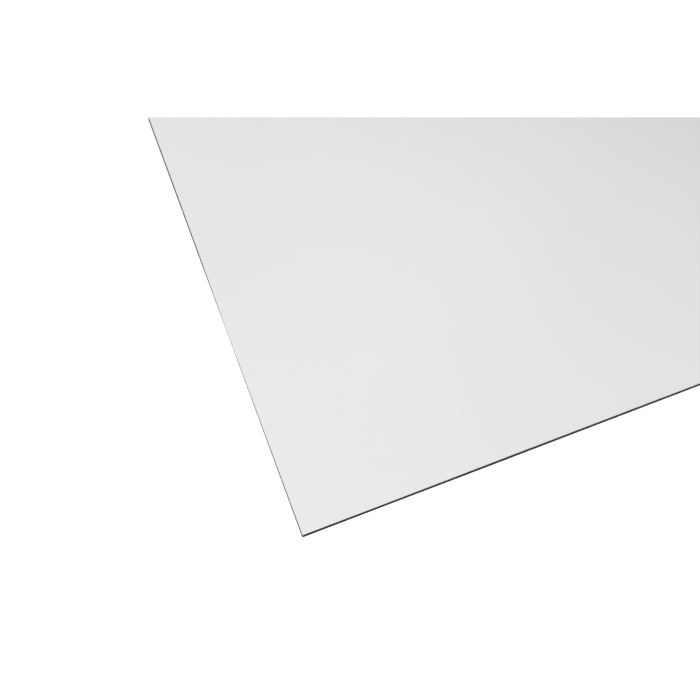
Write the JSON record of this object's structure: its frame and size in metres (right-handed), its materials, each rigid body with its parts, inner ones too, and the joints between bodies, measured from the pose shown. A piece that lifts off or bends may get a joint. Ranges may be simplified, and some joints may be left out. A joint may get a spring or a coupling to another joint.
{
  "type": "kitchen splashback panel",
  "caption": "Flat white kitchen splashback panel: aluminium composite sheet with a black core showing along its bare cut edges.",
  "frame": {"origin": "centre of the back face, which lies on the floor", "axes": "+X along the 1500 mm edge that stands on the worktop, +Y up the wall, +Z out of the side that faces the kitchen"},
  "size_m": [1.5, 0.6, 0.004],
  "materials": {
    "face_lacquer": "satin",
    "core_plastic": "matte",
    "back_coat": "satin"
  },
  "bodies": {
    "root": {"face_skin": "face_lacquer", "core": "core_plastic", "back_skin": "back_coat"}
  },
  "joints": []
}
